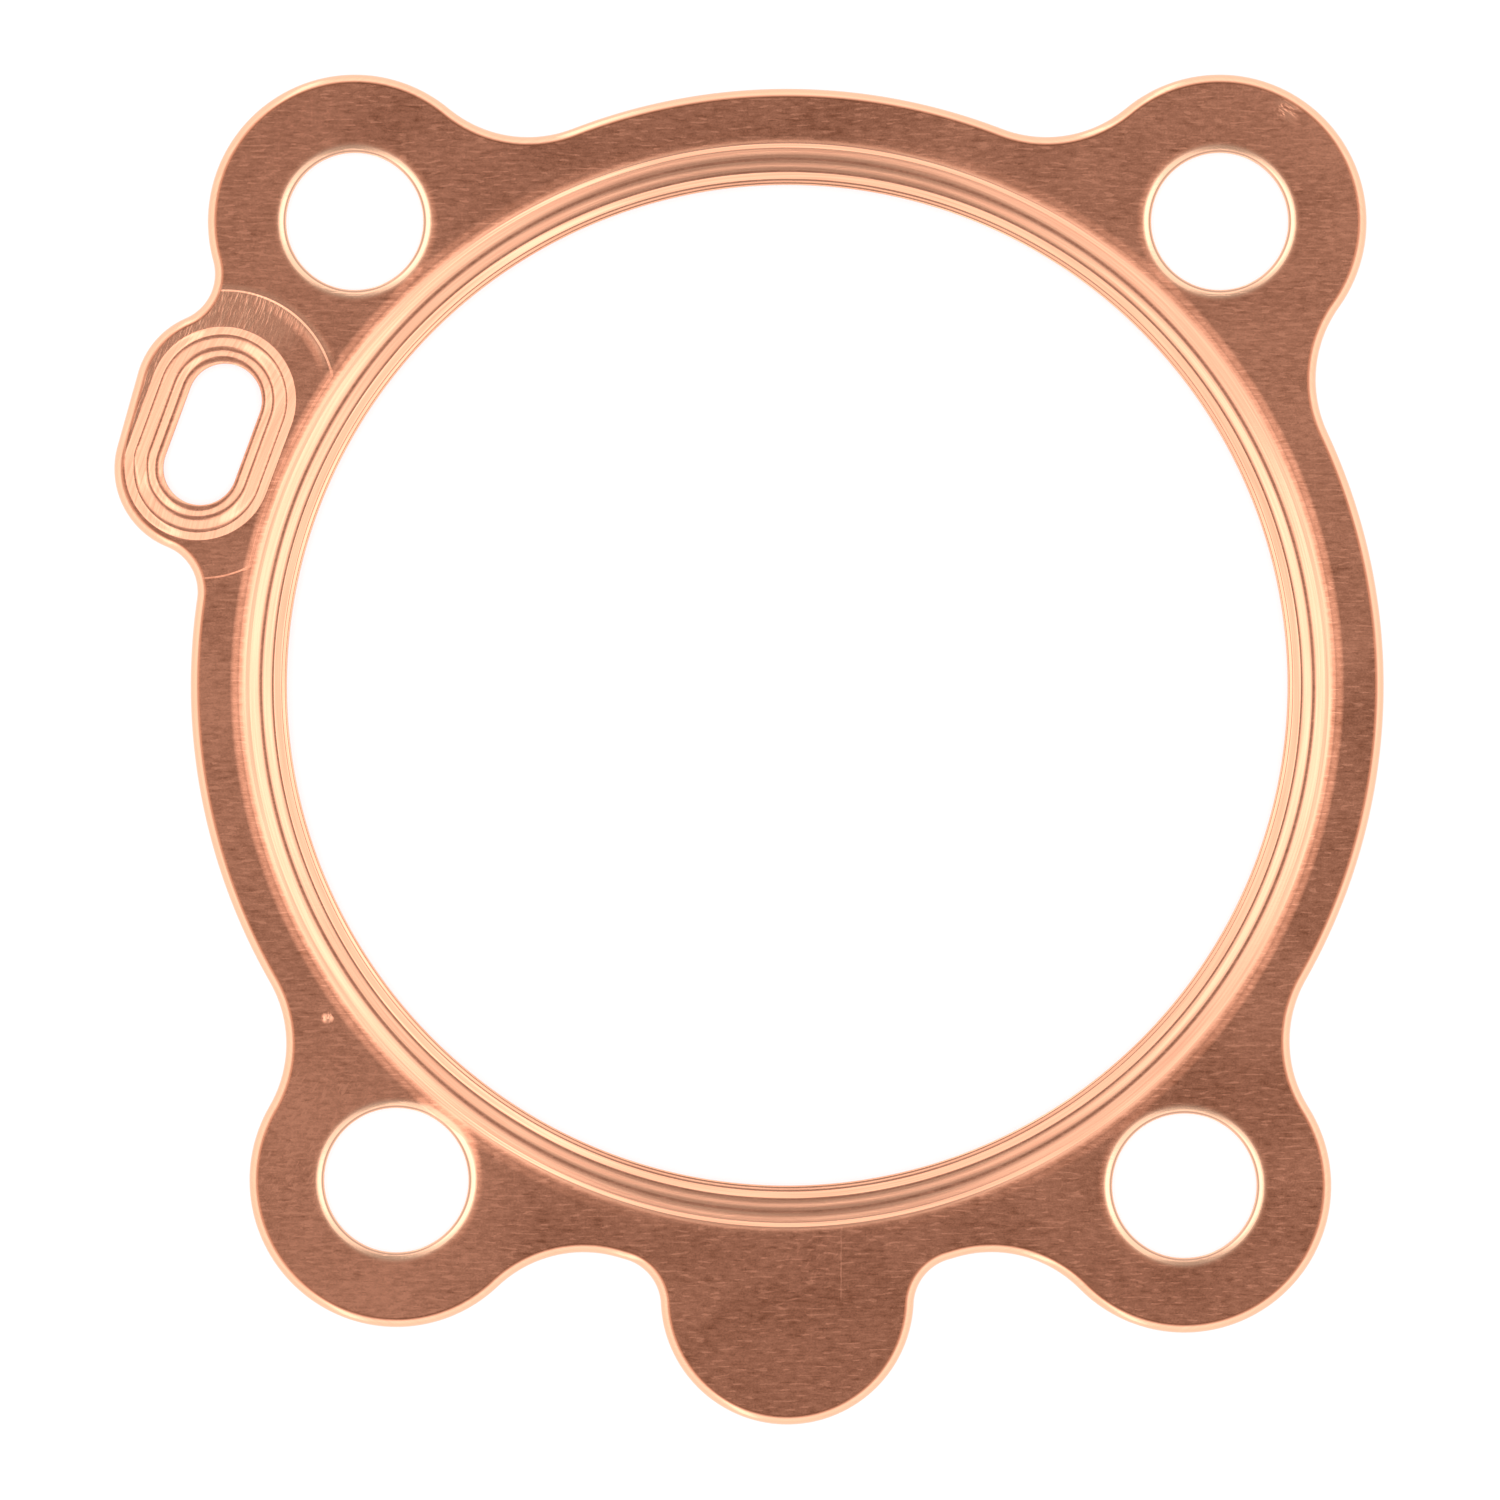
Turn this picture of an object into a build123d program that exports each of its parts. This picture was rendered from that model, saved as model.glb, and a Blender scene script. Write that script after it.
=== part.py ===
from build123d import *
import os
from math import cos, radians, sin

# A cylinder head gasket pressed from one copper sheet. Millimetres. The origin is the cylinder's axis on
# the sheet's flat underside, +Z is up through the sheet and +Y points to the two smaller bolt holes.

# The sheet and its outside edge
sheet_thickness = 1.0
edge_roll = 0.8           # rounding of the top edge all round the outside
least_edge = 0.04         # upright edge that the rounding always leaves

# The cylinder bore and the bead round it: how far each line of the bead lies from the bore's edge,
# how high it stands over the sheet's face, and how steeply the face climbs outwards there
cylinder_bore_radius = 41.5
bore_edge_rise = 0.41
bore_edge_slope = 0.6
bore_lip_offset = 0.12
bore_lip_rise = 0.45
bore_lip_shoulder_offset = 0.42
bore_lip_shoulder_rise = 0.41
bore_lip_shoulder_slope = -0.02
bore_valley_offset = 1.12
bore_valley_rise = 0.2
bore_crest_offset = 2.15
bore_crest_rise = 0.34
bore_shoulder_offset = 3.08
bore_shoulder_rise = 0.22
bore_shoulder_slope = -0.136
bore_step_offset = 3.45
bore_step_rise = 0.073
bore_step_slope = -0.11
bore_foot_offset = 4.05
body_width = 8.0          # of the sheet between the bore and its round outside

# Bolt holes, each in an ear of the sheet: how far its centre lies outside the bore's edge, and its
# bearing round the cylinder, in degrees anticlockwise from +X
top_hole_radius = 5.7
top_hole_out = 11.11
top_hole_bearing = 47.0   # of the right one; the left one mirrors it
bottom_hole_radius = 6.0
bottom_left_hole_out = 10.82
bottom_left_hole_bearing = 231.7
bottom_right_hole_out = 11.51
bottom_right_hole_bearing = -51.57
ear_radius = 12.2
ear_blend = 10.3
hole_roll_width = 0.75
hole_roll_depth = 0.12

# Round tab at the bottom
tab_radius = 10.5
tab_out = 1.35            # its centre, outside the sheet's round body
tab_blend = 4.0           # also the blend of the passage's lobe

# Oblong passage on the left: a slot with round ends that leans over clockwise
passage_out = 10.51       # its centre, outside the bore's edge
passage_bearing = 156.41
passage_radius = 3.06
passage_spacing = 5.98    # between the centres of its two round ends
passage_lean = 20.1

# The bead round the passage, drawn like the bore's bead, from its own centre line
bead_shift = (-0.19, 0.07)
bead_start_radius = 2.7
bead_lip_slope = 0.55
bead_lip_crest_radius = 3.47
bead_lip_crest_rise = 0.2
bead_valley_radius = 4.2
bead_valley_rise = 0.06
bead_crest_radius = 5.34
bead_crest_rise = 0.3
bead_foot_radius = 6.12

# The lobe of the outline that carries the passage
lobe_shift = (-0.33, 0.19)
lobe_radius = 7.0
lobe_spacing = 6.3
lobe_lean = 15.65

# The land pressed a little lower round the passage
land_radius = 9.13
land_depth = 0.06
land_wall = 0.2           # width of the slope at the land's rim

cut_overrun = 1.0         # how far the shapes that cut the holes pass beyond the sheet's faces


def outside_bore(distance, bearing):
    """The point this far outside the bore's edge at this bearing."""
    reach = cylinder_bore_radius + distance
    return (reach * cos(radians(bearing)), reach * sin(radians(bearing)))


body_radius = cylinder_bore_radius + body_width
top_right_hole = outside_bore(top_hole_out, top_hole_bearing)
top_left_hole = (-top_right_hole[0], top_right_hole[1])
bottom_left_hole = outside_bore(bottom_left_hole_out, bottom_left_hole_bearing)
bottom_right_hole = outside_bore(bottom_right_hole_out, bottom_right_hole_bearing)
passage_centre = outside_bore(passage_out, passage_bearing)


def moved(point, shift):
    """A point moved by a shift."""
    return (point[0] + shift[0], point[1] + shift[1])


def leaning(centre, lean):
    """Where a shape drawn upright about the origin goes when it leans over clockwise at a centre."""
    return Pos(centre[0], centre[1], 0) * Rot(0, 0, -lean)


def oblong(radius, spacing):
    """An upright slot shape: two round ends of this radius, with their centres this far apart."""
    return Rot(0, 0, 90) * SlotCenterToCenter(spacing, 2 * radius)


def closed(sketch, radius):
    """The sketch with its inner corners filled to this radius, by growing it and shrinking it again."""
    grown = offset(sketch, radius, kind=Kind.ARC)
    return offset(grown, -radius, kind=Kind.ARC)


def outline():
    """The sheet's outline: a disc with four ears, then the tab and the passage's lobe."""
    eared = Sketch() + Circle(body_radius)
    for hole in (top_left_hole, top_right_hole, bottom_left_hole, bottom_right_hole):
        eared += Pos(*hole) * Circle(ear_radius)
    eared = closed(eared, ear_blend)
    tab = Pos(0, -(body_radius + tab_out)) * Circle(tab_radius)
    lobe = leaning(moved(passage_centre, lobe_shift), lobe_lean) * oblong(lobe_radius, lobe_spacing)
    return closed(eared + tab + lobe, tab_blend)


def sheet(outline_face, thickness):
    """The outline as a sheet of this thickness, with its top edge rounded."""
    blank = extrude(outline_face, thickness)
    roll = min(edge_roll, thickness - least_edge)
    return fillet(blank.edges().group_by(Axis.Z)[-1], roll)


def wave(knots):
    """A smooth line through (distance, height, slope) knots: one cubic curve from each to the next."""
    curves = []
    for (x0, z0, slope0), (x1, z1, slope1) in zip(knots, knots[1:]):
        third = (x1 - x0) / 3
        leaving = (x0 + third, z0 + slope0 * third)
        arriving = (x1 - third, z1 - slope1 * third)
        curves.append(Bezier((x0, z0), leaving, arriving, (x1, z1)))
    return Curve() + curves


def pressed_section(knots, thickness):
    """The section of a pressed bead: its line on the underside, and again on top one thickness higher."""
    under = wave(knots)
    top = wave([(x, z + thickness, slope) for x, z, slope in knots])
    start, end = knots[0], knots[-1]
    inner = Line((start[0], start[1]), (start[0], start[1] + thickness))
    outer = Line((end[0], end[1]), (end[0], end[1] + thickness))
    return Plane.XZ * make_face(under + top + inner + outer)


def bore_bead():
    """The round bead at the cylinder bore."""
    lines = (
        (0, bore_edge_rise, bore_edge_slope),
        (bore_lip_offset, bore_lip_rise, 0),
        (bore_lip_shoulder_offset, bore_lip_shoulder_rise, bore_lip_shoulder_slope),
        (bore_valley_offset, bore_valley_rise, 0),
        (bore_crest_offset, bore_crest_rise, 0),
        (bore_shoulder_offset, bore_shoulder_rise, bore_shoulder_slope),
        (bore_step_offset, bore_step_rise, bore_step_slope),
        (bore_foot_offset, 0, 0),
    )
    knots = [(cylinder_bore_radius + out, rise, slope) for out, rise, slope in lines]
    return revolve(pressed_section(knots, sheet_thickness), Axis.Z, 360)


def passage_bead():
    """The oblong bead round the passage: the same section along two straights and round two ends."""
    knots = (
        (bead_start_radius, 0, bead_lip_slope),
        (bead_lip_crest_radius, bead_lip_crest_rise, 0),
        (bead_valley_radius, bead_valley_rise, 0),
        (bead_crest_radius, bead_crest_rise, 0),
        (bead_foot_radius, 0, 0),
    )
    section = pressed_section(knots, sheet_thickness - land_depth)
    end = Pos(0, passage_spacing / 2, 0) * revolve(section, Axis.Z, 180)
    side = extrude(section, passage_spacing / 2, both=True)
    half = end + side
    return leaning(moved(passage_centre, bead_shift), passage_lean) * (half + Rot(0, 0, 180) * half)


def sunken_sheet():
    """The sheet with the land round the passage sunk: a thinner sheet shows where the land is cut away."""
    outline_face = outline()
    low = sheet_thickness - land_depth
    bottom = leaning(passage_centre, passage_lean) * oblong(land_radius - land_wall / 2, passage_spacing)
    slope_rim = leaning(passage_centre, passage_lean) * oblong(land_radius + land_wall / 2, passage_spacing)
    well = extrude(bottom, low) + loft([Pos(0, 0, low) * bottom, Pos(0, 0, sheet_thickness) * slope_rim])
    foot = cylinder_bore_radius + bore_foot_offset
    standing = (Align.CENTER, Align.CENTER, Align.MIN)
    skirt = Pos(0, 0, low) * Cone(foot + land_wall, foot, land_depth, align=standing)
    well -= skirt + extrude(Circle(foot + land_wall), low)
    return sheet(outline_face, sheet_thickness) - well + sheet(outline_face, low)


def rolled_hole(centre, radius):
    """What is taken out for a bolt hole: the hole, and the rounding where its edge is drawn down."""
    face = sheet_thickness
    start = (radius, face - hole_roll_depth)
    end = (radius + hole_roll_width, face)
    # the rounding is an arc that meets the sheet's face level at its outer end
    arc = TangentArc(end, start, tangent=(-1, 0))
    below = -cut_overrun
    above = face + cut_overrun
    sides = Polyline(start, (radius, below), (0, below), (0, above), (end[0], above), end)
    return Pos(centre[0], centre[1], 0) * revolve(Plane.XZ * make_face(Curve() + arc + sides), Axis.Z, 360)


def gasket():
    """The whole gasket: the sheet, with a bead let in at the bore and the passage, and the holes cut."""
    part = sunken_sheet()
    part -= extrude(Circle(cylinder_bore_radius + bore_foot_offset), sheet_thickness)
    bead_room = extrude(oblong(bead_foot_radius, passage_spacing), sheet_thickness)
    part -= leaning(moved(passage_centre, bead_shift), passage_lean) * bead_room
    part += bore_bead()
    part += passage_bead()
    slot = extrude(oblong(passage_radius, passage_spacing), sheet_thickness + cut_overrun)
    part -= leaning(passage_centre, passage_lean) * slot
    for hole in (top_left_hole, top_right_hole):
        part -= rolled_hole(hole, top_hole_radius)
    for hole in (bottom_left_hole, bottom_right_hole):
        part -= rolled_hole(hole, bottom_hole_radius)
    return part


os.makedirs("parts", exist_ok=True)
export_step(gasket(), "parts/embossed_copper_sheet.step")
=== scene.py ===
from functools import reduce

import bpy
import numpy as np
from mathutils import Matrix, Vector
from mathutils.geometry import delaunay_2d_cdt


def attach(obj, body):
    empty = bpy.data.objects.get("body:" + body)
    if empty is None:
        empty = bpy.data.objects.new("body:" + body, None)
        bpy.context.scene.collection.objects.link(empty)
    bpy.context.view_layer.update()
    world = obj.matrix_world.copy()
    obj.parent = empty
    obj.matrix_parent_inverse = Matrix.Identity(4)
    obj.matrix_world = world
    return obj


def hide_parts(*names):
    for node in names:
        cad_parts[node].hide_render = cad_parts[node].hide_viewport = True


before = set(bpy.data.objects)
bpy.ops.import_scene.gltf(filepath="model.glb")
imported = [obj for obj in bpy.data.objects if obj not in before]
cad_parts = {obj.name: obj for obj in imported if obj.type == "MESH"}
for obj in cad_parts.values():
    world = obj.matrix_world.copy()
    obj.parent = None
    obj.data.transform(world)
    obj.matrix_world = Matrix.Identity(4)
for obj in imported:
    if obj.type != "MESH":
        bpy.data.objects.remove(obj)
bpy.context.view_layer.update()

# The gasket, embossed_copper_sheet: one sheet of soft copper, blanked to its outline and pressed once, so
# that a bead stands round the cylinder bore and round the oblong passage. Its holes are drawn down at their
# edges and its outside edge is rolled over. All lengths here are millimetres until the mesh is written.
millimetre = 0.001
sheet_thickness = 1.0
edge_roll = 0.8           # rounding of the top edge all round the outside

# The bore and the bead round it. A bead is a row of lines, each a distance out, a height and a slope there.
bore_radius = 41.5
bore_lines = ((41.5, 0.41, 0.6), (41.62, 0.45, 0.0), (41.92, 0.41, -0.02), (42.62, 0.2, 0.0),
              (43.65, 0.34, 0.0), (44.58, 0.22, -0.136), (44.95, 0.073, -0.11), (45.55, 0.0, 0.0))
bead_foot = 45.55
body_radius = 49.5        # of the sheet's round outside

# The bolt holes, each in an ear: how far a centre lies outside the bore's edge, and its bearing round the
# cylinder, in degrees anticlockwise from +X
top_hole_radius = 5.7
top_hole_out, top_hole_bearing = 11.11, 47.0
bottom_hole_radius = 6.0
bottom_left_hole_out, bottom_left_hole_bearing = 10.82, 231.7
bottom_right_hole_out, bottom_right_hole_bearing = 11.51, -51.57
hole_roll_width = 0.75
hole_roll_depth = 0.12
ear_radius = 12.2
ear_blend = 10.3

# The round tab at the bottom, and the blend that it shares with the passage's lobe
tab_radius = 10.5
tab_distance = 50.85
small_blend = 4.0

# The oblong passage: a slot with round ends that leans over clockwise, with its own bead, a little off its
# centre, in a land pressed lower than the sheet, and the lobe of the outline that carries it
passage_out, passage_bearing = 10.51, 156.41
passage_radius = 3.06
passage_spacing = 5.98    # between the centres of its two round ends
passage_lean = np.radians(20.1)
half_passage = np.array([np.sin(passage_lean), np.cos(passage_lean)]) * passage_spacing / 2
bead_shift = np.array([-0.19, 0.07])
passage_lines = ((2.7, 0.0, 0.55), (3.47, 0.2, 0.0), (4.2, 0.06, 0.0), (5.34, 0.3, 0.0), (6.12, 0.0, 0.0))
passage_foot = 6.12
land_radius = 9.13
land_depth = 0.06
land_wall = 0.2           # width of the slope at the land's rim
lobe_shift = np.array([-0.33, 0.19])
lobe_radius = 7.0
lobe_spacing = 6.3
lobe_lean = np.radians(15.65)


def outside_bore(distance, bearing):
    """The point at a distance outside the bore's edge: distance plus bore radius, turned to the bearing."""
    turn = np.radians(bearing)
    return (bore_radius + distance) * np.array([np.cos(turn), np.sin(turn)])


top_right_hole = outside_bore(top_hole_out, top_hole_bearing)
top_left_hole = top_right_hole * (-1, 1)
bottom_left_hole = outside_bore(bottom_left_hole_out, bottom_left_hole_bearing)
bottom_right_hole = outside_bore(bottom_right_hole_out, bottom_right_hole_bearing)
holes = ((top_left_hole, top_hole_radius), (top_right_hole, top_hole_radius),
         (bottom_left_hole, bottom_hole_radius), (bottom_right_hole, bottom_hole_radius))
passage_centre = outside_bore(passage_out, passage_bearing)
bead_centre = passage_centre + bead_shift


def ease(low, high, value):
    """0 below low, 1 above high, and between them 3t squared less 2t cubed of the way t."""
    t = np.clip((value - low) / (high - low), 0, 1)
    return t * t * (3 - 2 * t)


def wave(lines, place):
    """Height of a pressed line. Between two (place, height, slope) lines it is the cubic that has both
    their heights and both their slopes. Beyond the last it stays at the last one's height."""
    at, height, slope = np.array(lines).T
    k = np.clip(np.searchsorted(at, place) - 1, 0, len(at) - 2)
    span = at[k + 1] - at[k]
    t = np.clip((place - at[k]) / span, 0, 1)
    rising = t * t * (3 - 2 * t)
    return (height[k] * (1 - rising) + height[k + 1] * rising
            + span * t * (1 - t) * (slope[k] * (1 - t) - slope[k + 1] * t))


def from_oblong(x, y, centre):
    """Distance from the straight line between the passage's two end centres, when its middle is at this
    centre: the part of the way along it that lies past an end, and the way across it, as the two sides of
    a right angle."""
    along = (x - centre[0]) * np.sin(passage_lean) + (y - centre[1]) * np.cos(passage_lean)
    across = (x - centre[0]) * np.cos(passage_lean) - (y - centre[1]) * np.sin(passage_lean)
    return np.hypot(np.maximum(np.abs(along) - passage_spacing / 2, 0), across)


def faces(x, y):
    """Heights of the sheet's top and underside over a point, without the rolled outside edge: both rise by
    the beads' lines there; the top is a sheet's thickness up, less the land's depth inside the land, and
    less a circular arc's drop near a bolt hole."""
    radius = np.hypot(x, y)
    under = wave(bore_lines, radius)
    under = under + wave(passage_lines, from_oblong(x, y, bead_centre))
    apart = from_oblong(x, y, passage_centre)
    land = 1 - ease(land_radius - land_wall / 2, land_radius + land_wall / 2, apart)
    land = land * ease(bead_foot, bead_foot + land_wall, radius)
    top = under + sheet_thickness - land_depth * land
    roll_radius = (hole_roll_width ** 2 + hole_roll_depth ** 2) / (2 * hole_roll_depth)
    for centre, hole_radius in holes:
        inward = np.clip(hole_radius + hole_roll_width - np.hypot(x - centre[0], y - centre[1]), 0, None)
        top = top - roll_radius + np.sqrt(roll_radius ** 2 - np.minimum(inward, hole_roll_width) ** 2)
    return top, under


def slopes(x, y, face):
    """How fast one of the two faces climbs along x and along y: its change over a short step each way."""
    step = 0.002
    along_x = (faces(x + step, y)[face] - faces(x - step, y)[face]) / (2 * step)
    along_y = (faces(x, y + step)[face] - faces(x, y - step)[face]) / (2 * step)
    return along_x, along_y


# How far apart the mesh's points are along each edge, and how fine they get where a line crosses the land's
# rim. The outline's small arcs are divided by a turn, in radians.
outline_spacing, outline_turn = 0.5, 0.05
bead_spacing = 0.5
hole_spacing = 0.4
rim_reach, rim_spacing = 0.4, 0.04
arc_step = 0.01           # of the dense lines that the points are chosen from
circle_steps = 60000
same_point = 1e-6


def thinned(points, spacing):
    """Points chosen from a dense closed line so that neighbours are about the wanted spacing apart: the
    steps are added up, each divided by the spacing wanted there, and a point is kept at each whole sum."""
    steps = np.hypot(*(np.roll(points, -1, 0) - points).T)
    total = np.cumsum(steps / spacing)
    return np.unique(np.searchsorted(total, np.arange(0, int(total[-1])) + 0.5))


def near_land(points, spacing):
    """The wanted spacing, made fine where the line crosses the rim of the land."""
    apart = from_oblong(points[:, 0], points[:, 1], passage_centre)
    return np.where(np.abs(apart - land_radius) < rim_reach, rim_spacing, spacing)


# The outline: a chain of discs that the sheet bulges round, anticlockwise, with a hollow blend between each
# two. The lobe's two ends are one straight apart.
lobe_along = np.array([np.sin(lobe_lean), np.cos(lobe_lean)]) * lobe_spacing / 2
lobe_centre = passage_centre + lobe_shift
body = (np.zeros(2), body_radius)
lobe_top, lobe_bottom = (lobe_centre + lobe_along, lobe_radius), (lobe_centre - lobe_along, lobe_radius)
ears = [(centre, ear_radius) for centre, _ in holes]
tab = (np.array([0.0, -tab_distance]), tab_radius)
chain = [(body, ear_blend), (ears[1], ear_blend), (body, ear_blend), (ears[0], small_blend),
         (lobe_top, None), (lobe_bottom, small_blend), (body, ear_blend), (ears[2], ear_blend),
         (body, small_blend), (tab, small_blend), (body, ear_blend), (ears[3], ear_blend)]


def blend_centre(first, second, blend):
    """Centre of the arc that touches two discs from outside, on the right of the way between them: the
    corner of a triangle whose sides are each disc's radius plus the blend, and the way itself."""
    way = second[0] - first[0]
    length = np.hypot(*way)
    reach, other = first[1] + blend, second[1] + blend
    along = (length ** 2 + reach ** 2 - other ** 2) / (2 * length)
    aside = np.sqrt(reach ** 2 - along ** 2)
    return first[0] + (way * along + np.array([way[1], -way[0]]) * aside) / length


def arc(centre, radius, start, end, side):
    """Points and outward directions of an arc from the start angle to the end angle: anticlockwise round a
    disc, side 1, or clockwise round a hollow, side -1, where outwards is towards the centre."""
    sweep = side * ((side * (end - start)) % (2 * np.pi))
    turn = start + sweep * np.linspace(0, 1, int(abs(sweep) * radius / arc_step) + 2)
    rays = np.stack([np.cos(turn), np.sin(turn)], -1)
    return centre + radius * rays, side * rays, np.full(len(turn), radius)


def angle(way):
    """The angle of a way from +X."""
    return np.arctan2(way[1], way[0])


def outline():
    """The whole outline: each disc's arc from the blend before it to the blend after it, then that
    blend."""
    discs = [disc for disc, _ in chain]
    followers = discs[1:] + discs[:1]
    joints = [None if blend is None else blend_centre(disc, following, blend)
              for (disc, blend), following in zip(chain, followers)]
    straight = angle(np.array([lobe_along[1], -lobe_along[0]])) + np.pi
    pieces = []
    for k, (disc, blend) in enumerate(chain):
        before, after = joints[k - 1], joints[k]
        start = straight if before is None else angle(before - disc[0])
        end = straight if after is None else angle(after - disc[0])
        pieces.append(arc(disc[0], disc[1], start, end, 1))
        if after is not None:
            pieces.append(arc(after, blend, angle(disc[0] - after), angle(followers[k][0] - after), -1))
    points, outward, radius = (np.concatenate(part) for part in zip(*pieces))
    fresh = np.hypot(*(points - np.roll(points, 1, 0)).T) > same_point
    points, outward, radius = points[fresh], outward[fresh], radius[fresh]
    chosen = thinned(points, near_land(points, np.minimum(outline_spacing, radius * outline_turn)))
    return points[chosen], outward[chosen]


def ring(centre, radius, spacing):
    """Directions from a circle's centre to points round it about this spacing apart, clockwise, so that the
    sheet is on their left: the cosine and the sine of each point's angle."""
    turn = -np.linspace(0, 2 * np.pi, circle_steps, endpoint=False)
    rays = np.stack([np.cos(turn), np.sin(turn)], -1)
    points = centre + radius * rays
    return rays[thinned(points, near_land(points, spacing))]


def oblong_ends(steps):
    """Clockwise round the passage's two round ends, with this many points on each: where each point's end
    centre lies from the passage's middle, half its spacing up or down its lean, and the point's direction
    from that centre, the cosine and the sine of an angle that makes half a turn at each end."""
    turn = np.pi - passage_lean - np.linspace(0, np.pi, steps)
    rays = np.stack([np.cos(turn), np.sin(turn)], -1)
    return np.repeat([half_passage, -half_passage], steps, 0), np.concatenate([rays, -rays])


# The bands: grids of points, row by row from an edge of the sheet to the flat. Each row runs the whole way
# round with the sheet on its left. Outside the bore's bead comes a skirt of flat, wider where the land's
# slope follows the bead.
roll_rows = 11
rows_between_lines = 6
skirt_rows = 6
hole_rows = 9
passage_rows = 33
passage_end_points = 61
skirt_width, skirt_extra = 0.01, 0.23
skirt_widens, skirt_narrows = (140, 143), (170, 173)      # bearings, in degrees


def skirt(x, y):
    """Width of the skirt at a point's bearing: its plain width, and the extra between the bearings where it
    widens and narrows, eased in and out."""
    bearing = np.degrees(np.arctan2(y, x))
    return skirt_width + skirt_extra * ease(*skirt_widens, bearing) * (1 - ease(*skirt_narrows, bearing))


edge_points, edge_outward = outline()
tilt = np.radians(np.linspace(90, 0, roll_rows))
bands = [edge_points - edge_roll * (1 - np.sin(tilt))[:, None, None] * edge_outward]

rays = ring(np.zeros(2), bead_foot, bead_spacing)
across_bead = np.concatenate([np.linspace(near[0], far[0], rows_between_lines, endpoint=False)
                              for near, far in zip(bore_lines, bore_lines[1:])])
across_skirt = bead_foot + skirt(*rays.T) * np.linspace(0, 1, skirt_rows)[:, None]
out = np.concatenate([across_bead[:, None] * np.ones(len(rays)), across_skirt])
bands.append(out[..., None] * rays)

for centre, hole_radius in holes:
    out = hole_radius + np.linspace(0, hole_roll_width, hole_rows)
    bands.append(centre + out[:, None, None] * ring(centre, hole_radius, hole_spacing))

ends, rays = oblong_ends(passage_end_points)
share = np.linspace(0, 1, passage_rows)[:, None, None]
bands.append(passage_centre + ends + share * bead_shift
             + (passage_radius + share * (passage_foot - passage_radius)) * rays)

# The flat between the bands, with the lines of the land's rim drawn in it, is filled with triangles.
rim_lines = 9
rim_end_points = 150
fill_tolerance = 1e-7
place = np.concatenate([band.reshape(-1, 2) for band in bands])
firsts = np.cumsum([0] + [band.shape[0] * band.shape[1] for band in bands])[:-1]
loops = [np.arange(band.shape[1]) + first + (band.shape[0] - 1) * band.shape[1]
         for band, first in zip(bands, firsts)]
margin_index = np.concatenate(loops)
margin = place[margin_index]
pairs = [np.stack([loop, np.roll(loop, -1)], -1) for loop in loops]


def in_flat(points):
    """Whether points lie in the flat: inside the rolled edge, on the inner side of its nearest point, and
    outside every other band, farther from its centre or centre line than its last row."""
    x, y = points.T
    away = points[:, None] - place[loops[0]][None]
    nearest = np.argmin((away ** 2).sum(-1), 1)
    inside = (away[np.arange(len(points)), nearest] * edge_outward[nearest]).sum(-1) < 0
    inside &= np.hypot(x, y) > bead_foot + skirt(x, y)
    for centre, hole_radius in holes:
        inside &= np.hypot(x - centre[0], y - centre[1]) > hole_radius + hole_roll_width
    return inside & (from_oblong(x, y, bead_centre) > passage_foot)


ends, rays = oblong_ends(rim_end_points)
for reach in land_radius + land_wall * np.linspace(-0.5, 0.5, rim_lines):
    line = passage_centre + ends + reach * rays
    inside = in_flat(line)
    line, inside = np.roll(line, -np.argmin(inside), 0), np.roll(inside, -np.argmin(inside))
    change = np.flatnonzero(np.diff(inside.astype(int)))
    for start, end in change.reshape(-1, 2):
        run = line[start + 2:end]
        tips = [margin_index[[np.argmin(((margin - tip) ** 2).sum(-1))]] for tip in (run[0], run[-1])]
        ids = np.concatenate([tips[0], np.arange(len(run)) + len(place), tips[1]])
        place = np.concatenate([place, run])
        pairs.append(np.stack([ids[:-1], ids[1:]], -1))

used, short = np.unique(np.concatenate(pairs), return_inverse=True)
filled = delaunay_2d_cdt([Vector(p) for p in place[used].tolist()], short.reshape(-1, 2).tolist(), [], 1,
                         fill_tolerance)
fill = used[np.array([ids[0] for ids in filled[3]])[np.array(filled[2])]]
triangles = fill[in_flat(place[fill].mean(1))]


def strips(band, first):
    """The four-sided faces of a closed band whose points are numbered row by row from first: each point,
    the next in its row, and the two over them in the next row."""
    rows, columns = band.shape[:2]
    row = first + np.arange(rows - 1)[:, None] * columns
    row_over = row + columns
    column = np.arange(columns)
    following = np.roll(column, -1)
    corners = np.stack([row + column, row + following, row_over + following, row_over + column], -1)
    return corners.reshape(-1, 4)


# The mesh: every point once on the top and once on the underside, and an upright wall along each band's
# first row.
crease_angle = np.radians(32)
steepest_roll = np.radians(89.5)     # the roll's first row stands upright, where a slope has no number
x, y = place.T
count = len(place)
columns = len(edge_points)


def along_roll(values):
    """A value for every point: each row of the rolled edge has its own, and all other points have 0."""
    whole = np.zeros(count)
    whole[:len(values) * columns] = np.repeat(values, columns)
    return whole


top, under = faces(x, y)
top = top - along_roll(edge_roll * (1 - np.cos(tilt)))
four = np.concatenate([strips(band, first) for band, first in zip(bands, firsts)])
edges = [np.arange(band.shape[1]) + first for band, first in zip(bands, firsts)]
walls = np.concatenate([np.stack([here + count, np.roll(here, -1) + count, np.roll(here, -1), here], -1)
                        for here in edges])
points = np.concatenate([np.stack([x, y, top], -1), np.stack([x, y, under], -1)]) * millimetre
mesh = bpy.data.meshes.new("pressed_copper_gasket")
mesh.from_pydata(points.tolist(), [], four.tolist() + triangles.tolist() + (four[:, ::-1] + count).tolist()
                 + (triangles[:, ::-1] + count).tolist() + walls.tolist())
mesh.validate()
mesh.shade_smooth()
mesh.set_sharp_from_angle(angle=crease_angle)

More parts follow.
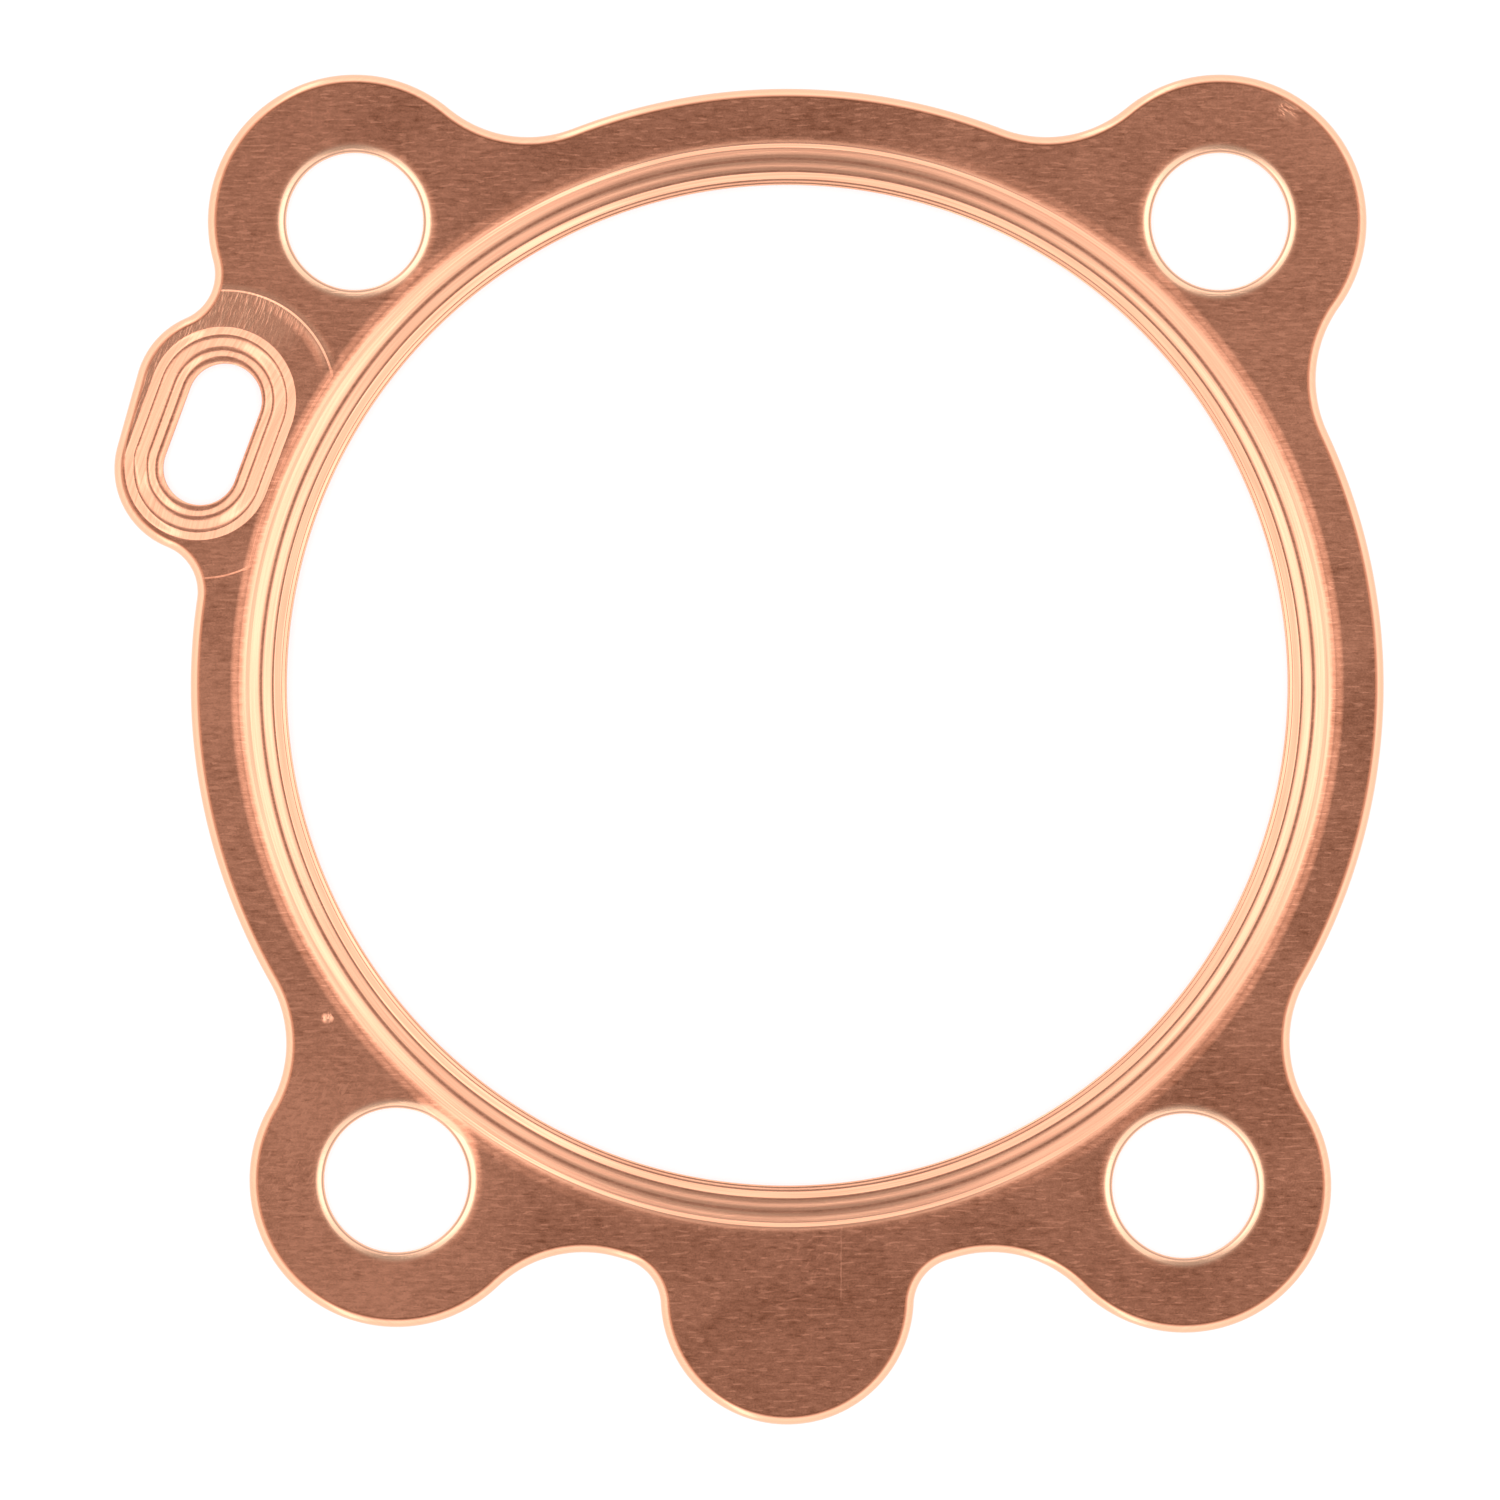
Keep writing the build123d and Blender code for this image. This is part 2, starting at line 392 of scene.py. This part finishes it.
# Its shading follows the exact slopes, but at the walls the faces' own.
outward = np.zeros((count, 2))
outward[:roll_rows * columns] = np.tile(edge_outward, (roll_rows, 1))
roll_slope = along_roll(np.tan(np.minimum(tilt, steepest_roll)))[:, None]
climb = np.stack(slopes(x, y, 0), -1)
climb_under = np.stack(slopes(x, y, 1), -1)
up = np.concatenate([roll_slope * outward - climb, np.ones((count, 1))], 1)
down = np.concatenate([climb_under, -np.ones((count, 1))], 1)
normals = np.concatenate([up, down])
normals /= np.linalg.norm(normals, axis=1, keepdims=True)
upright = np.concatenate(edges)
normals[upright] = 0
normals[upright + count] = 0
mesh.normals_split_custom_set_from_vertices(normals.tolist())

# Three marks go with the points for the finish: how steeply the sheet was pressed there, whether it lies in
# a band, where the die rubbed it and where highlight is painted on its slopes, and how far the rolled edge
# leans over there, from 0 on the flat to 1 where it is upright.
rubbed_and_highlit = np.zeros(count)
for band, first in zip(bands, firsts):
    rubbed_and_highlit[first:first + (band.shape[0] - 1) * band.shape[1]] = 1
rolled = along_roll(np.sin(tilt))
marks = {"pressed": (np.hypot(*climb.T), np.hypot(*climb_under.T)), "rubbed_and_highlit": (rubbed_and_highlit, rubbed_and_highlit),
         "rolled": (rolled, rolled)}
for name, both_faces in marks.items():
    values = np.concatenate(both_faces).astype(np.float32)
    mesh.attributes.new(name, "FLOAT", "POINT").data.foreach_set("value", values)
gasket = bpy.data.objects.new("pressed_copper_gasket", mesh)
bpy.context.scene.collection.objects.link(gasket)
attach(gasket, "root")
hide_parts("embossed_copper_sheet")


class Finish:
    """A value in a finish: one socket of its node tree. Sums, differences, products and quotients of values
    add Math nodes, and node() adds any other node."""

    def __init__(self, tree, socket=None):
        self.tree, self.socket = tree, socket

    def node(self, kind, settings, sockets, output=0):
        """Adds a node: first its settings, then the value or link of each named or numbered socket. Gives
        its named or numbered output, or nothing if it has none."""
        made = self.tree.nodes.new("ShaderNode" + kind)
        for name, value in settings.items():
            setattr(made, name, value)
        for name, value in sockets.items():
            if isinstance(value, Finish):
                self.tree.links.new(value.socket, made.inputs[name])
            else:
                made.inputs[name].default_value = value
        return Finish(self.tree, made.outputs[output]) if made.outputs else None

    def beside(self, output):
        """Another output of the node that gives this value."""
        return Finish(self.tree, self.socket.node.outputs[output])

    def math(self, operation, *others):
        """This value and others, numbers or values, through a Math node."""
        return self.node("Math", {"operation": operation}, dict(enumerate((self, *others))))

    def __add__(self, other):
        return self.math("ADD", other)

    def __sub__(self, other):
        return self.math("SUBTRACT", other)

    def __rsub__(self, other):
        return self.node("Math", {"operation": "SUBTRACT"}, {0: other, 1: self})

    def __mul__(self, other):
        return self.math("MULTIPLY", other)

    def __truediv__(self, other):
        return self.math("DIVIDE", other)

    def __rtruediv__(self, other):
        return self.node("Math", {"operation": "DIVIDE"}, {0: other, 1: self})

    def __abs__(self):
        return self.math("ABSOLUTE")

    __radd__, __rmul__ = __add__, __mul__

    def between(self, start, full):
        """0 at start, 1 at full and a smooth change between them, whichever of the two is the higher."""
        return self.node("MapRange", {"interpolation_type": "SMOOTHSTEP"},
                         {"Value": self, "From Min": start, "From Max": full})

    def blend(self, first, second):
        """A colour between two colours by this value."""
        return self.node("Mix", {"data_type": "RGBA"}, {"Factor": self, "A": first, "B": second}, 2)


def greatest(*values):
    """The greatest of several values, compared two at a time."""
    return reduce(lambda value, other: value.math("MAXIMUM", other), values)


def emptied(holder):
    """Clears the nodes of a material or a world, and gives a start to add its own nodes from."""
    holder.use_nodes = True
    holder.node_tree.nodes.clear()
    return Finish(holder.node_tree)


# The gasket's finish: bare copper. The flats are as the mill rolled them, dulled and browned, with short
# fine streaks along X. The beads, the holes' rims and the rolled edge are painted bright: partly where the
# die rubbed them, and partly painted highlight, the sheen that their slopes catch from the side lamps. The
# die also scored the land's upper end. Colours are linear.
dull_copper = (0.290, 0.100, 0.052, 1.0)
light_copper = (0.720, 0.305, 0.188, 1.0)
bright_copper = (0.93, 0.47, 0.300, 1.0)
# a paler copper, painted as highlight on the rolled edge and the holes' rims
edge_highlight_copper = (0.98, 0.560, 0.372, 1.0)
# a dark copper, painted as shade just inside the holes' cut edges
cut_shade_copper = (0.26, 0.14, 0.10, 1.0)
copper = bpy.data.materials.new("pressed_copper")
paint = emptied(copper)
here = paint.node("TexCoord", {}, {}, "Object")
in_mm = paint.node("Mapping", {}, {"Vector": here, "Scale": [1 / millimetre] * 3})
x_mm = paint.node("SeparateXYZ", {}, {0: in_mm}, "X")
y_mm = x_mm.beside("Y")


def noise(vector, detail):
    """Noise over a vector, its blotches about one unit long."""
    return paint.node("TexNoise", {}, {"Vector": vector, "Scale": 1.0, "Detail": detail})


def speckle(size_x, size_y, detail, lean=0.0):
    """Noise whose blotches are about these sizes, in millimetres, along X and along Y, or leaning over
    clockwise by an angle."""
    turned = paint.node("Mapping", {}, {"Vector": in_mm, "Rotation": (0, 0, lean)})
    stretched = paint.node("Mapping", {}, {"Vector": turned, "Scale": (1 / size_x, 1 / size_y, 1)})
    return noise(stretched, detail)


def away_from(centre):
    """The distance from a place, in millimetres: the root of the sum of its two parts' squares."""
    aside, along = x_mm - centre[0], y_mm - centre[1]
    return (aside * aside + along * along).math("SQRT")


def patch(centre, outer, inner):
    """1 within the inner distance of a place and 0 beyond the outer one, with a smooth change between."""
    return away_from(centre).between(outer, inner)


# What the mill and years of handling left all over the sheet: patterns about 0, and dashes from 0 to 1
middle = 0.5              # of what a noise gives
streaks = speckle(1.2, 0.26, 3.0) - middle
mottle = speckle(0.8, 0.5, 3.0) - middle
clouds = speckle(9.0, 6.0, 2.0) - middle
grain = speckle(0.16, 0.14, 1.0) - middle
dashes = speckle(1.3, 0.24, 0.0).between(0.65, 0.72)
dark_dashes = speckle(1.5, 0.28, 0.0).between(0.62, 0.78)

# Where the die rubbed, and where highlight is painted as the sheen that slopes catch from the side lamps:
# by the marks of the mesh, and by the distance out from the nearest bolt hole's edge. A ring at the foot of
# the bore's bead stays dull, and the passage's bead is brightened less than the bore's.
pressed, rubbed_and_highlit, rolled = (paint.node("Attribute", {"attribute_name": name}, {}, "Fac") for name in marks)
from_axis = away_from((0.0, 0.0))
from_cut = away_from(holes[0][0]) - holes[0][1]
for centre, hole_radius in holes[1:]:
    from_cut = from_cut.math("MINIMUM", away_from(centre) - hole_radius)
bright_slope = 0.1        # a slope from which the metal is painted fully bright, as rubbed metal and as painted highlight
passage_rub_and_highlight_less = 0.65        # how much less of its slope counts on the passage's bead
foot_rub_and_highlight = 0.25           # how much the last of the bore's bead is rubbed and painted with highlight
rim_rub_and_highlight = 0.5             # and the metal round the bolt holes' rims
dull_ring = from_axis.between(44.95, 45.4) * from_axis.between(46.2, 45.9)
rubbed_and_highlit = rubbed_and_highlit * (1 - dull_ring)
off_bore = from_axis.between(bead_foot, bead_foot + 0.5) * from_cut.between(0.8, 1.0)
# Painted highlight, with the die's rubbing: the steeper the bead, the brighter its colour, as a slope
# catching the side lamps.
bead_rub_and_highlight = (pressed * (1 - off_bore * passage_rub_and_highlight_less)).between(0.0, bright_slope)
burnish_and_highlight = greatest(rubbed_and_highlit * bead_rub_and_highlight, from_axis.between(45.9, 44.9) * foot_rub_and_highlight,
                   from_cut.between(1.0, 0.6) * rim_rub_and_highlight)

# The land's upper end, between the passage's bead and the land's rim: scored by the die in strokes that
# lean as the passage does, with a bright lip at the rim, partly rubbed and partly painted highlight. Both
# fade in past the passage's upper end centre.
land_end = passage_centre + half_passage
end_way = (-0.59, 0.81)   # from the land's end out of the gasket, one long
strokes = speckle(0.24, 1.5, 2.0, passage_lean) - middle
upward = (y_mm - land_end[1]) * end_way[1] + (x_mm - land_end[0]) * end_way[0]
apart = away_from(land_end)
by_rim = abs(apart - land_radius)
round_end = upward.between(-4.0, -1.0)
in_land = apart.between(land_radius + land_wall / 2, land_radius)
scored = in_land * upward.between(-1.0, 4.5) * (1 - rubbed_and_highlit)
land_lip = by_rim.between(0.7, 0.15) * round_end

# Marks of handling: one fine broken scratch over the tab, slanted strokes on the lower left ear and over
# the tab, a nick by that ear, and a scuff on the upper right ear
scratch_x, scratch_waver = 4.46, 0.2
scratch_half_width = (0.09, 0.03)
scratch_low, scratch_high = (-51.3, -50.6), (-44.6, -44.9)
slant = np.radians(32)
scuff_slant = np.radians(30)
ear_strokes_place, tab_strokes_place = (-39.5, -37.5), (2.0, -47.0)
nick_place, scuff_place = (-38.1, -27.6), (41.5, 47.8)
scratch = abs(x_mm + mottle * scratch_waver - scratch_x).between(*scratch_half_width)
scratch = scratch * y_mm.between(*scratch_low) * y_mm.between(*scratch_high)
scratch = scratch * (speckle(0.5, 1.6, 1.0).between(0.35, 0.6) * 0.6 + 0.3)
slanted = patch(ear_strokes_place, 7.5, 3.5) + patch(tab_strokes_place, 4.0, 1.5) * 0.5
slanted = slanted * speckle(0.30, 1.1, 1.0, slant).between(0.56, 0.72)
nick = patch(nick_place, 0.6, 0.0) * speckle(0.4, 0.4, 1.0).between(0.30, 0.55)
scuff = patch(scuff_place, 1.4, 0.3) * speckle(1.2, 0.4, 2.0, scuff_slant).between(0.40, 0.6)
stroke_rub, scored_rub = 2.2, 0.65
lip_rub_and_highlight, scuff_rub = 0.8, 0.5
# Also painted bright: the scoring, the land's lip, the rolled edge, rubbed and painted with highlight the
# more it leans, the nick and the scuff.
burnish_and_highlight = greatest(burnish_and_highlight, scored * (strokes * stroke_rub + scored_rub), land_lip * lip_rub_and_highlight,
                   rolled.between(0.08, 0.34), nick, scuff * scuff_rub)

# The dull metal's tone, from dull to light copper. It is lighter in three wide patches of painted light: on
# its left, at its upper right and on its lower left ear.
tone_middle = 0.49
streak_tone, dash_tone, dark_dash_tone = 0.8, 0.38, 0.20
mottle_tone, cloud_tone, grain_tone = 0.8, 0.8, 0.5
stroke_tone, scored_tone = 1.8, 0.60
scratch_tone, slanted_tone, nick_tone, scuff_tone = 0.6, 0.5, 1.2, 0.4
lit_patch_left, lit_patch_right, lit_patch_ear = (-46, 10), (48, 32), (-34, -42)
tone = streaks * streak_tone + dashes * dash_tone - dark_dashes * dark_dash_tone
tone = tone + mottle * mottle_tone + clouds * cloud_tone + grain * grain_tone
# Painted light: three wide lighter patches on the flats.
tone = tone + patch(lit_patch_left, 55, 15) * 0.22 + patch(lit_patch_right, 50, 10) * 0.22
tone = tone + patch(lit_patch_ear, 20, 6) * 0.28 + scored * (strokes * stroke_tone + scored_tone)
tone = tone + scratch * scratch_tone + slanted * slanted_tone + nick * nick_tone + scuff * scuff_tone
flat = (tone + tone_middle).blend(dull_copper, light_copper)

# The bright metal has fine turned lines round the axis. The holes' rims and the rolled edge are painted
# palest, a painted highlight on their slopes. A thin dark line of painted shade runs round each hole's cut,
# and another along the foot of the rolled edge, in its crease.
lines_out, lines_round = 7.0, 5.0         # how fine they are, a millimetre outwards and a radian round
turned_tone, turned_middle = 1.6, 0.72
# how far the painted shade lines darken the colour
painted_shade_strength = 0.75
turned_lines = noise(paint.node("CombineXYZ", {}, {"X": from_axis * lines_out,
                                                   "Y": x_mm / from_axis * lines_round,
                                                   "Z": y_mm / from_axis * lines_round}), 2.0) - middle
bright = (turned_lines * turned_tone + turned_middle).blend(light_copper, bright_copper)
# Painted highlight: the rolled edge and the holes' rims take the paler copper.
edge_highlight = rolled.math("MAXIMUM", from_cut.between(0.9, 0.6))
colour = burnish_and_highlight.blend(flat, edge_highlight.blend(bright, edge_highlight_copper))
# Painted shade: a thin dark line just inside each hole's cut edge, where it drops into the hole.
cut_shade = from_cut.between(0.02, 0.10) * from_cut.between(0.27, 0.16)
colour = (cut_shade * painted_shade_strength).blend(colour, cut_shade_copper)
# Painted shade: a dark line along the foot of the rolled edge, in the crease where it meets the flat.
roll_foot_shade = rolled.between(0.0, 0.08) * rolled.between(0.46, 0.15)
colour = (roll_foot_shade * painted_shade_strength).blend(colour, dull_copper)

# The relief, in millimetres: the mill's streaks, shallower on the bore's bead, the scoring, the nick and
# the scuff, and the soft way in which the sheet eases into the bore's bead, the holes' rims, the land's rim
# and the narrow neck between the lower left hole and the bead
mill_depth, calm_depth = 0.003, 0.0022
dash_depth, mottle_depth, grain_depth = 0.5, 0.8, 0.4     # as shares of the streaks' depth
stroke_depth, nick_depth, scuff_depth = 0.022, 0.05, 0.02
bead_ease, rim_ease, land_ease, neck_ease = 0.05, 0.030, 0.05, 0.06
neck_place = (-28.4, -36.4)
relief = streaks + dashes * dash_depth - dark_dashes * dash_depth + mottle * mottle_depth
relief = relief + grain * grain_depth
calm = from_axis.between(46.8, 46.0)
height = relief * (mill_depth - calm * calm_depth) + scored * strokes * stroke_depth
height = height + nick * nick_depth + scuff * scuff_depth
height = height + from_axis.between(46.25, 45.35) * bead_ease - from_cut.between(1.25, 0.35) * rim_ease
height = height + by_rim.between(1.1, 0.0) * round_end * land_ease
neck = (away_from(bottom_left_hole) - bottom_hole_radius).between(1.5, 0.3) * patch(neck_place, 5.5, 2.5)
height = height - neck * neck_ease
bump = paint.node("Bump", {}, {"Height": height, "Strength": 1.0, "Distance": millimetre})

# Roughness of the rubbed metal, how much more the flats have, and how much the grain changes both
rubbed_rough, flat_rough, grain_rough = 0.16, 0.05, 0.06
rough = (1 - burnish_and_highlight) * flat_rough + rubbed_rough + grain * grain_rough
shader = paint.node("BsdfPrincipled", {}, {"Base Color": colour, "Metallic": 1.0, "Roughness": rough,
                                           "Normal": bump})
paint.node("OutputMaterial", {}, {"Surface": shader})
mesh.materials.append(copper)

# The floor it lies on: plain and pale, and white to the eye and in metal and glass. From here on lengths
# are metres.
floor_reach, floor_height = 3, -2e-5
floor_grey, floor_glow = (0.35, 0.35, 0.35, 1.0), 0.66
corners = [(-floor_reach, -floor_reach), (floor_reach, -floor_reach), (floor_reach, floor_reach),
           (-floor_reach, floor_reach)]
floor_mesh = bpy.data.meshes.new("floor")
floor_mesh.from_pydata([(*corner, floor_height) for corner in corners], [], [(0, 1, 2, 3)])
floor = bpy.data.objects.new("floor", floor_mesh)
bpy.context.scene.collection.objects.link(floor)
white = bpy.data.materials.new("white_floor")
coat = emptied(white)
to_eye = coat.node("LightPath", {}, {}, "Is Camera Ray")
seen = to_eye + to_eye.beside("Is Glossy Ray") + to_eye.beside("Is Transmission Ray")
diffuse = coat.node("BsdfDiffuse", {}, {"Color": floor_grey})
glow = coat.node("Emission", {}, {"Color": (1, 1, 1, 1), "Strength": seen * floor_glow})
coat.node("OutputMaterial", {}, {"Surface": coat.node("AddShader", {}, {0: diffuse, 1: glow})})
floor_mesh.materials.append(white)

# The light: a white tent, whose strength goes by the way that each part of it lies from the gasket.
# Straight overhead it has a dark slot along Y, with a bright strip on each side of it, the right one only
# in its middle. It dims a little towards the horizon. Its strengths come on top of the slot's.
slot_strength, tent_strength = 0.38, 1.08
side_strength, strip_strength = 0.9, 0.85
horizon_dip = 0.2
world = bpy.data.worlds.new("tent")
bpy.context.scene.world = world
tent = emptied(world)
way = tent.node("TexCoord", {}, {}, "Generated")
across = tent.node("SeparateXYZ", {}, {0: way}, "X")
along, upwards = abs(across.beside("Y")), across.beside("Z")
aside = abs(across)
strip = aside.between(0.20, 0.27) * aside.between(0.46, 0.36)
strip = strip * (1 - along.between(0.10, 0.18) * across.between(-0.05, 0.05))
sides = aside.between(0.06, 0.17) * side_strength + strip * strip_strength
whole_tent = upwards.between(0.955, 0.91) * tent_strength
radiance = sides.math("MAXIMUM", whole_tent) + slot_strength - upwards.between(0.6, 0.2) * horizon_dip
background = tent.node("Background", {}, {"Color": (1, 1, 1, 1), "Strength": radiance})
tent.node("OutputWorld", {}, {"Surface": background})

# The camera looks straight down, far off with a long lens, at the middle of the gasket.
view_width = 0.1245       # metres across the view
view_middle = (-0.003088, -0.005373)
camera = bpy.data.cameras.new("camera")
camera.lens = 400
camera.sensor_width = 36
camera.clip_start, camera.clip_end = 0.1, 10
lens = bpy.data.objects.new("camera", camera)
bpy.context.scene.collection.objects.link(lens)
lens.location = (*view_middle, view_width * camera.lens / camera.sensor_width)
bpy.context.scene.camera = lens
bpy.context.scene.view_settings.view_transform = "Standard"
